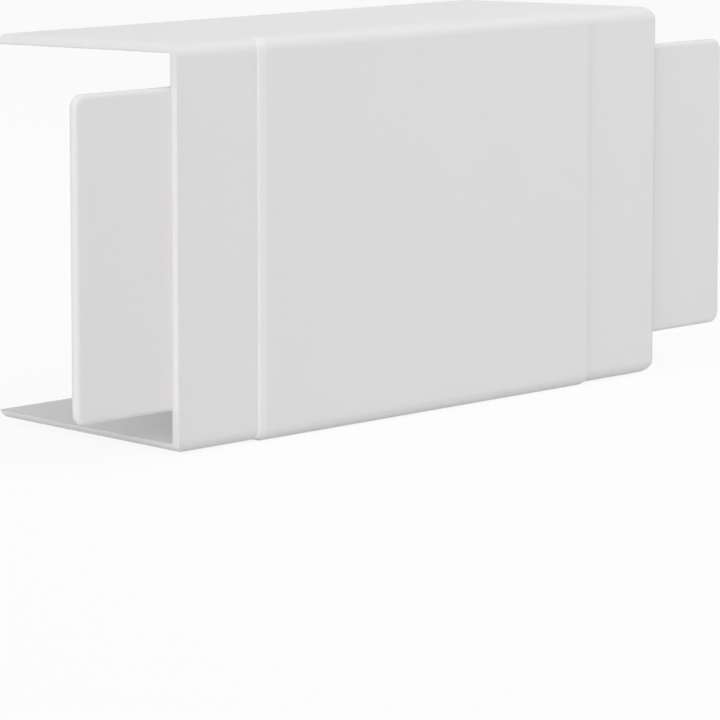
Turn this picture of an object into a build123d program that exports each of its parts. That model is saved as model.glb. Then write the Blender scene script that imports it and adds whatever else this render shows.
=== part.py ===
"""Tee fitting for wall trunking: one moulded hood with two tongues and a branch opening.

The hood covers a straight run of trunking from the front. It is a U-section, open to
the wall, with a raised block in the middle and a lower collar at each end. A flat tongue
stands out of each collar and goes in behind the lid of the next length of trunking. The
lower flange of the block is cut away, so that a branch of the same trunking meets the run.

X runs along the trunking, Y points into the wall and Z points up. The origin is at the
middle of the overall box, on its underside.
"""

import os
from math import asin, degrees, hypot

from build123d import *

os.makedirs("parts", exist_ok=True)

# The trunking that the hood covers
trunking_height = 90.0
trunking_depth = 60.0
slip_clearance = 0.25

# The hood's section: its flanges lean in a little, to grip the trunking
wall = 2.25
inner_bend_radius = 1.0
flange_lean = 1.2

# The run and its two collars
run_length = 169.0
collar_length = 25.5
end_corner_radius = 3.6

# The raised block between the collars: its ends fall in a long shallow bevel and a short wall,
# and its flanges run flush with the collars at their back edges
front_step = 1.1
side_step = 0.25
bevel_length = 2.0
bevel_drop = 0.55
bevel_edge_radius = 0.3

# The two tongues: each is set back from the collar's front and curves forward to its root
tongue_reach = 29.7
tongue_root = 10.0
tongue_recess = 2.0
tongue_height = 75.0
tongue_thickness = 2.0
tongue_corner_radius = 3.0
tongue_front_radius = 1.2
tongue_back_radius = 0.7
root_length = 1.8
root_radius = 7.0

# The branch opening in the block's lower flange
branch_width = 90.0
branch_lip = 1.0
branch_corner_radius = 3.0

# How far a cutting shape runs past the face that it opens
past = 5.0

# Sizes that follow
collar_height = trunking_height + 2 * slip_clearance + 2 * wall
collar_depth = trunking_depth + slip_clearance + wall
block_length = run_length - 2 * collar_length
overall_depth = collar_depth + front_step
bend_radius = inner_bend_radius + wall
lean_slope = flange_lean / collar_depth
fade_slope = side_step / overall_depth

# Places that follow
block_front = -overall_depth / 2
collar_front = block_front + front_step
back = overall_depth / 2
run_end = run_length / 2


def collar_half(y):
    """Half the collar's height at depth y, which falls as its flanges lean in."""
    return collar_height / 2 - lean_slope * (y - collar_front)


def block_half(y):
    """Half the block's height at depth y, whose step fades out towards the back edges."""
    return collar_half(y) + fade_slope * (back - y)


# The block stands on its lower bend, which is rounded a hair above its sharp corner
block_slope = lean_slope + fade_slope
bend_rise = bend_radius * (block_slope + hypot(1, block_slope) - 1)
middle_z = block_half(block_front) - bend_rise


def hood_section(left_x, half_at, near_y, far_y, inset, corner_radius):
    """Outline across the run at left_x, set in from the outer faces that half_at gives."""
    near_half = half_at(near_y) - inset
    far_half = half_at(far_y) - inset
    with BuildSketch(Plane.YZ.offset(left_x), mode=Mode.PRIVATE) as outline:
        with BuildLine():
            Polyline(
                (near_y, middle_z - near_half),
                (far_y, middle_z - far_half),
                (far_y, middle_z + far_half),
                (near_y, middle_z + near_half),
                close=True,
            )
        make_face()
        if corner_radius:
            fillet(outline.vertices().group_by(Axis.X)[0], corner_radius)
    return outline.sketch


# Outer form of the collars, over the whole run: end corners first, then the long bends
with BuildPart() as collars:
    extrude(hood_section(-run_end, collar_half, collar_front, back, 0, 0), amount=run_length)
    flange_faces = collars.faces().sort_by(Axis.Z)
    flange_edges = flange_faces[0].edges() + flange_faces[-1].edges()
    fillet(flange_edges.filter_by(Axis.X, reverse=True), end_corner_radius)
    bent_section = hood_section(-run_end, collar_half, collar_front, back, 0, bend_radius)
    extrude(bent_section, amount=run_length, mode=Mode.INTERSECT)

# Outer form of the block, with the bevel and the short wall at each end
with BuildPart() as block:
    left_x = -block_length / 2
    block_section = hood_section(left_x, block_half, block_front, back, 0, bend_radius)
    extrude(block_section, amount=block_length)
    for end in (0, -1):
        end_face = block.faces().sort_by(Axis.X)[end]
        rim = end_face.edges().filter_by(lambda edge: edge.center().Y < back - past)
        chamfer(rim, length=bevel_drop, length2=bevel_length, reference=end_face)
        wall_edges = block.faces().sort_by(Axis.X)[end].edges()
        fillet(wall_edges.filter_by(lambda edge: edge.center().Y < back - past), bevel_edge_radius)

# One tongue, the right one, drawn in plan: its root curves forward into the collar's wall
tongue_front = collar_front + tongue_recess
tongue_back = tongue_front + tongue_thickness
tongue_tip = run_end + tongue_reach
root_turn = degrees(asin((root_length + wall) / root_radius))
with BuildPart() as tongue:
    with BuildSketch(Plane.XY.offset(middle_z)):
        with BuildLine():
            root_curve = JernArc((run_end + root_length, tongue_front), (-1, 0), root_radius, root_turn)
            Polyline(
                root_curve @ 1,
                (run_end - tongue_root, (root_curve @ 1).Y),
                (run_end - tongue_root, tongue_back),
                (tongue_tip, tongue_back),
                (tongue_tip, tongue_front),
                root_curve @ 0,
            )
        make_face()
    extrude(amount=tongue_height / 2, both=True)
    fillet(tongue.edges().filter_by(Axis.Y).group_by(Axis.X)[-1], tongue_corner_radius)
    front_face = tongue.faces().filter_by(Axis.Y).sort_by(Axis.X)[-1]
    back_face = tongue.faces().filter_by(Axis.Y).sort_by(Axis.Y)[-1]
    front_rim = front_face.edges().filter_by(lambda edge: edge.center().X > run_end + past)
    back_rim = back_face.edges().filter_by(lambda edge: edge.center().X > run_end)
    fillet(front_rim, tongue_front_radius)
    fillet(back_rim, tongue_back_radius)

with BuildPart() as tee_hood:
    add(collars.part)
    add(block.part)

    # Channel for the trunking, and the block's own pocket
    channel = hood_section(
        -run_end - past, collar_half, collar_front + wall, back + past, wall, inner_bend_radius
    )
    extrude(channel, amount=run_length + 2 * past, mode=Mode.SUBTRACT)
    pocket_length = block_length - 2 * wall
    pocket = hood_section(
        -pocket_length / 2, block_half, block_front + wall, back + past, wall, inner_bend_radius
    )
    extrude(pocket, amount=pocket_length, mode=Mode.SUBTRACT)

    # Tongues at both ends
    add(tongue.part)
    add(tongue.part.mirror(Plane.YZ))

    # Branch opening, from behind the lower bend to the wall
    branch_near = block_front + bend_radius + branch_lip
    branch_far = back + past
    with BuildSketch(Plane.XY.offset(-past)) as branch:
        with Locations((0, (branch_near + branch_far) / 2)):
            Rectangle(branch_width, branch_far - branch_near)
        fillet(branch.vertices().group_by(Axis.Y)[0], branch_corner_radius)
    extrude(amount=past + middle_z / 2, mode=Mode.SUBTRACT)

tee_hood.part.label = "tee_hood"
export_step(tee_hood.part, "parts/tee_hood.step")
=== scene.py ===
"""Looks of a white trunking tee fitting: its moulded plastic, the floor, the light and the camera.

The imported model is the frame. It has one moulding, which keeps its CAD shape and gets a
satin white plastic here. Everything else is the studio around it.
"""

import logging
import math
from dataclasses import dataclass
from enum import Enum

import bpy
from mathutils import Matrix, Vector


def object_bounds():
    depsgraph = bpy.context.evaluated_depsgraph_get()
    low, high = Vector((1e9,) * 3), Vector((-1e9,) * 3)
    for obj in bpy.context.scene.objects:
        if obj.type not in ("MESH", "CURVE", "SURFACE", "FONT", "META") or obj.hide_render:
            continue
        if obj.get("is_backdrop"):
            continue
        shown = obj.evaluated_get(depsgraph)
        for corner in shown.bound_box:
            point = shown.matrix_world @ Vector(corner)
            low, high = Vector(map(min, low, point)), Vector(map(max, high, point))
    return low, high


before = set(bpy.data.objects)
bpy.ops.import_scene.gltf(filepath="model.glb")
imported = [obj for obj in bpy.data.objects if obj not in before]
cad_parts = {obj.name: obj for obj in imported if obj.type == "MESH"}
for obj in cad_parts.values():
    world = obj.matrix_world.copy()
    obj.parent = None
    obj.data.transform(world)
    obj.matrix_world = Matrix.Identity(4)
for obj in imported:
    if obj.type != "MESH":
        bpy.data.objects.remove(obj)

log = logging.getLogger("tee_fitting")

IMAGE_PIXELS = 720
SENSOR_WIDTH = 36.0

Colour = tuple[float, float, float]
Place = tuple[float, float, float]

WHITE: Colour = (1.0, 1.0, 1.0)

# Places of a Mix node's sockets when it mixes colours
MIX_SHARE = 0
MIX_FIRST = 6
MIX_SECOND = 7
MIX_RESULT = 2


class Side(Enum):
    """Where a soft box stands, seen from the fitting's front."""

    FRONT_LEFT = "front_left"
    LEFT = "left"
    RIGHT = "right"
    TOP_FRONT = "top_front"
    TOP = "top"
    BACK = "back"


def mixed_colour(
    tree: bpy.types.NodeTree, first: Colour, second: Colour, share: bpy.types.NodeSocket
) -> bpy.types.NodeSocket:
    """Mix two colours.

    Args:
        tree: The node tree that gets the node.
        first: The colour where the share is 0.
        second: The colour where the share is 1.
        share: How much of the second colour there is.

    Returns:
        The mixed colour.
    """
    mix = tree.nodes.new("ShaderNodeMix")
    mix.data_type = "RGBA"
    mix.inputs[MIX_FIRST].default_value = (*first, 1.0)
    mix.inputs[MIX_SECOND].default_value = (*second, 1.0)
    tree.links.new(share, mix.inputs[MIX_SHARE])
    return mix.outputs[MIX_RESULT]


@dataclass(frozen=True)
class MouldedPlastic:
    """Satin white plastic, with the fine grain of a spark-eroded mould.

    Depths and the edge radius are in metres, and scales are in cells to the metre.
    """

    name: str = "satin_white_plastic"
    colour: Colour = (0.834, 0.821, 0.826)
    cloud_colour: Colour = (0.816, 0.802, 0.808)
    cloud_scale: float = 18.0
    cloud_detail: float = 2.0
    roughness_low: float = 0.50
    roughness_high: float = 0.60
    roughness_scale: float = 55.0
    roughness_detail: float = 3.0
    noise_low: float = 0.3
    noise_high: float = 0.7
    wave_scale: float = 24.0
    wave_detail: float = 1.0
    wave_depth: float = 0.00006
    grain_scale: float = 2600.0
    grain_detail: float = 3.0
    grain_depth: float = 0.000008
    edge_radius: float = 0.0005
    edge_samples: int = 6
    refraction: float = 1.5

    def build(self) -> bpy.types.Material:
        """Make the material.

        Returns:
            The finished node material.
        """
        material = bpy.data.materials.new(self.name)
        material.use_nodes = True
        tree = material.node_tree
        shader = tree.nodes["Principled BSDF"]
        shader.inputs["IOR"].default_value = self.refraction
        place = tree.nodes.new("ShaderNodeTexCoord").outputs["Object"]
        tree.links.new(self._tint(tree, place), shader.inputs["Base Color"])
        tree.links.new(self._sheen(tree, place), shader.inputs["Roughness"])
        tree.links.new(self._relief(tree, place), shader.inputs["Normal"])
        return material

    def _tint(self, tree: bpy.types.NodeTree, place: bpy.types.NodeSocket) -> bpy.types.NodeSocket:
        """Let the white change slightly over the surface.

        Args:
            tree: The node tree that gets the nodes.
            place: The coordinates that they read.

        Returns:
            The colour.
        """
        cloud = self._noise(tree, place, self.cloud_scale, self.cloud_detail)
        return mixed_colour(tree, self.colour, self.cloud_colour, cloud)

    def _sheen(self, tree: bpy.types.NodeTree, place: bpy.types.NodeSocket) -> bpy.types.NodeSocket:
        """Let the gloss change slightly over the surface.

        Args:
            tree: The node tree that gets the nodes.
            place: The coordinates that they read.

        Returns:
            The roughness.
        """
        spread = tree.nodes.new("ShaderNodeMapRange")
        spread.inputs["From Min"].default_value = self.noise_low
        spread.inputs["From Max"].default_value = self.noise_high
        spread.inputs["To Min"].default_value = self.roughness_low
        spread.inputs["To Max"].default_value = self.roughness_high
        sheen = self._noise(tree, place, self.roughness_scale, self.roughness_detail)
        tree.links.new(sheen, spread.inputs["Value"])
        return spread.outputs["Result"]

    def _relief(self, tree: bpy.types.NodeTree, place: bpy.types.NodeSocket) -> bpy.types.NodeSocket:
        """Soften the edges, let the large walls wave faintly, and add the mould's grain.

        Args:
            tree: The node tree that gets the nodes.
            place: The coordinates that they read.

        Returns:
            The surface's normal.
        """
        soft_edge = tree.nodes.new("ShaderNodeBevel")
        soft_edge.samples = self.edge_samples
        soft_edge.inputs["Radius"].default_value = self.edge_radius
        wave = self._noise(tree, place, self.wave_scale, self.wave_detail)
        waved = self._bump(tree, soft_edge.outputs["Normal"], wave, self.wave_depth)
        grain = self._noise(tree, place, self.grain_scale, self.grain_detail)
        return self._bump(tree, waved, grain, self.grain_depth)

    def _noise(
        self, tree: bpy.types.NodeTree, place: bpy.types.NodeSocket, scale: float, detail: float
    ) -> bpy.types.NodeSocket:
        """Add a noise texture.

        Args:
            tree: The node tree that gets the node.
            place: The coordinates that it reads.
            scale: Cells to the metre.
            detail: How many finer layers it has.

        Returns:
            The noise's value, from 0 to 1.
        """
        noise = tree.nodes.new("ShaderNodeTexNoise")
        noise.inputs["Scale"].default_value = scale
        noise.inputs["Detail"].default_value = detail
        tree.links.new(place, noise.inputs["Vector"])
        return noise.outputs["Fac"]

    def _bump(
        self, tree: bpy.types.NodeTree, normal: bpy.types.NodeSocket, height: bpy.types.NodeSocket,
        depth: float,
    ) -> bpy.types.NodeSocket:
        """Add a bump of a real depth.

        Args:
            tree: The node tree that gets the node.
            normal: The normal that the bump starts from.
            height: The height, from 0 to 1.
            depth: What a height of 1 stands for, in metres.

        Returns:
            The bumped normal.
        """
        bump = tree.nodes.new("ShaderNodeBump")
        bump.inputs["Distance"].default_value = depth
        tree.links.new(height, bump.inputs["Height"])
        tree.links.new(normal, bump.inputs["Normal"])
        return bump.outputs["Normal"]


@dataclass
class TeeHood:
    """The one moulding: hood, raised block, collars and tongues."""

    node: str = "tee_hood"
    plastic: MouldedPlastic = MouldedPlastic()

    def dress(self) -> bpy.types.Object:
        """Give the moulding its plastic.

        Returns:
            The moulding's object.
        """
        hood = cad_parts[self.node]
        hood.data.materials.clear()
        hood.data.materials.append(self.plastic.build())
        return hood


def seen_share(tree: bpy.types.NodeTree) -> bpy.types.NodeSocket:
    """Tell rays that show a background from rays that carry its light to other surfaces.

    Args:
        tree: The node tree that gets the nodes.

    Returns:
        A value of 1 for camera, glossy and transmission rays, and 0 for the others.
    """
    path = tree.nodes.new("ShaderNodeLightPath")
    seen = path.outputs["Is Camera Ray"]
    for kind in ("Is Glossy Ray", "Is Transmission Ray"):
        either = tree.nodes.new("ShaderNodeMath")
        either.operation = "MAXIMUM"
        tree.links.new(seen, either.inputs[0])
        tree.links.new(path.outputs[kind], either.inputs[1])
        seen = either.outputs[0]
    return seen


@dataclass
class Floor:
    """Pale floor that carries the fitting's soft shadow."""

    name: str = "floor"
    half_size: float = 6.0
    gap: float = 0.0001
    finish_name: str = "pale_floor"
    roughness: float = 0.9
    seen_colour: Colour = (0.90, 0.90, 0.90)
    bounce_colour: Colour = (0.80, 0.80, 0.80)
    white_share: float = 0.9

    def build(self) -> bpy.types.Object:
        """Make the floor just under the fitting.

        Returns:
            The floor's object, marked as stage.
        """
        half = self.half_size
        mesh = bpy.data.meshes.new(self.name)
        corners = [(-half, -half, 0), (half, -half, 0), (half, half, 0), (-half, half, 0)]
        mesh.from_pydata(corners, [], [(0, 1, 2, 3)])
        floor = bpy.data.objects.new(self.name, mesh)
        floor.location.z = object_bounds()[0].z - self.gap
        bpy.context.scene.collection.objects.link(floor)
        mesh.materials.append(self._finish())
        floor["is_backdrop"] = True
        return floor

    def _finish(self) -> bpy.types.Material:
        """Make a finish that is seen near white and throws back less light than it shows.

        Returns:
            The floor's material.
        """
        material = bpy.data.materials.new(self.finish_name)
        material.use_nodes = True
        tree = material.node_tree
        seen = seen_share(tree)
        matt = tree.nodes["Principled BSDF"]
        matt.inputs["Roughness"].default_value = self.roughness
        colour = mixed_colour(tree, self.bounce_colour, self.seen_colour, seen)
        tree.links.new(colour, matt.inputs["Base Color"])
        white = tree.nodes.new("ShaderNodeEmission")
        share = tree.nodes.new("ShaderNodeMath")
        share.operation = "MULTIPLY"
        share.inputs[1].default_value = self.white_share
        tree.links.new(seen, share.inputs[0])
        blend = tree.nodes.new("ShaderNodeMixShader")
        tree.links.new(share.outputs[0], blend.inputs[0])
        tree.links.new(matt.outputs[0], blend.inputs[1])
        tree.links.new(white.outputs[0], blend.inputs[2])
        tree.links.new(blend.outputs[0], tree.nodes["Material Output"].inputs["Surface"])
        return material


@dataclass(frozen=True)
class SoftBox:
    """One rectangular studio light, aimed at the middle of the fitting: metres and watts."""

    side: Side
    place: Place
    width: float
    height: float
    power: float
    colour: Colour = WHITE

    def build(self, target: Vector) -> bpy.types.Object:
        """Make the light.

        Args:
            target: The point that it is aimed at.

        Returns:
            The light's object.
        """
        name = f"softbox_{self.side.value}"
        lamp = bpy.data.lights.new(name, "AREA")
        lamp.shape = "RECTANGLE"
        lamp.size = self.width
        lamp.size_y = self.height
        lamp.energy = self.power
        lamp.color = self.colour
        box = bpy.data.objects.new(name, lamp)
        box.location = self.place
        box.rotation_mode = "QUATERNION"
        box.rotation_quaternion = (target - Vector(self.place)).to_track_quat("-Z", "Y")
        bpy.context.scene.collection.objects.link(box)
        return box


@dataclass
class Studio:
    """Weak light from all round, with soft boxes that model the form."""

    ambient: float = 0.16
    boxes: tuple[SoftBox, ...] = (
        SoftBox(Side.FRONT_LEFT, (-2.6, -2.6, 1.6), 2.5, 2.5, 41.0),
        SoftBox(Side.LEFT, (-3.5, -0.6, 0.75), 2.5, 1.4, 46.0),
        SoftBox(Side.RIGHT, (3.0, -0.2, 0.5), 2.0, 0.8, 12.0),
        SoftBox(Side.TOP_FRONT, (0.25, -0.5, 0.75), 0.6, 0.6, 2.7),
        SoftBox(Side.TOP, (0.0, 0.3, 2.8), 2.0, 2.0, 20.0),
        SoftBox(Side.BACK, (0.3, 2.5, 1.0), 2.0, 1.5, 7.0),
    )

    def build(self) -> None:
        """Set the world and make the soft boxes."""
        self._set_world()
        low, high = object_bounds()
        middle = (low + high) / 2
        for box in self.boxes:
            box.build(middle)
            log.info("soft box %s: %.1f W", box.side.value, box.power)

    def _set_world(self) -> None:
        """Light from all round, and plain white where the camera or a reflection sees past the floor."""
        world = bpy.data.worlds.new("studio")
        world.use_nodes = True
        tree = world.node_tree
        light = tree.nodes["Background"]
        light.inputs["Color"].default_value = (*WHITE, 1.0)
        light.inputs["Strength"].default_value = self.ambient
        white = tree.nodes.new("ShaderNodeBackground")
        white.inputs["Color"].default_value = (*WHITE, 1.0)
        blend = tree.nodes.new("ShaderNodeMixShader")
        tree.links.new(seen_share(tree), blend.inputs[0])
        tree.links.new(light.outputs[0], blend.inputs[1])
        tree.links.new(white.outputs[0], blend.inputs[2])
        tree.links.new(blend.outputs[0], tree.nodes["World Output"].inputs["Surface"])
        bpy.context.scene.world = world


@dataclass(frozen=True)
class ProductCamera:
    """The photograph's viewpoint, from the front left and a little above: metres and degrees."""

    name: str = "product_camera"
    place: Place = (-0.7367, -0.7174, 0.1701)
    turn: float = 46.043
    tilt: float = 7.016
    focal_pixels: float = 4170.2
    axis_row: float = 225.0
    clip_near: float = 0.05
    clip_far: float = 50.0

    def build(self) -> bpy.types.Object:
        """Make the camera and make it the scene's own.

        Returns:
            The camera's object.
        """
        data = bpy.data.cameras.new(self.name)
        data.sensor_width = SENSOR_WIDTH
        data.lens = self.focal_pixels * SENSOR_WIDTH / IMAGE_PIXELS
        data.shift_y = self.axis_row / IMAGE_PIXELS - 0.5
        data.clip_start = self.clip_near
        data.clip_end = self.clip_far
        camera = bpy.data.objects.new(self.name, data)
        turn = math.radians(self.turn)
        tilt = math.radians(self.tilt)
        ahead = Vector((math.sin(turn) * math.cos(tilt), math.cos(turn) * math.cos(tilt), -math.sin(tilt)))
        camera.location = self.place
        camera.rotation_mode = "QUATERNION"
        camera.rotation_quaternion = ahead.to_track_quat("-Z", "Y")
        bpy.context.scene.collection.objects.link(camera)
        bpy.context.scene.camera = camera
        return camera


def main() -> None:
    """Dress the moulding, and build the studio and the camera."""
    logging.basicConfig(level=logging.INFO, format="%(name)s: %(message)s")
    bpy.context.scene.view_settings.view_transform = "Standard"
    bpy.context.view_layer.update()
    hood = TeeHood().dress()
    log.info("moulding: %s, %d faces", hood.name, len(hood.data.polygons))
    floor = Floor().build()
    log.info("floor: %s at z %.4f m", floor.name, floor.location.z)
    Studio().build()
    camera = ProductCamera().build()
    log.info("camera: lens %.1f mm, shift %.4f", camera.data.lens, camera.data.shift_y)


if __name__ == "__main__":
    main()
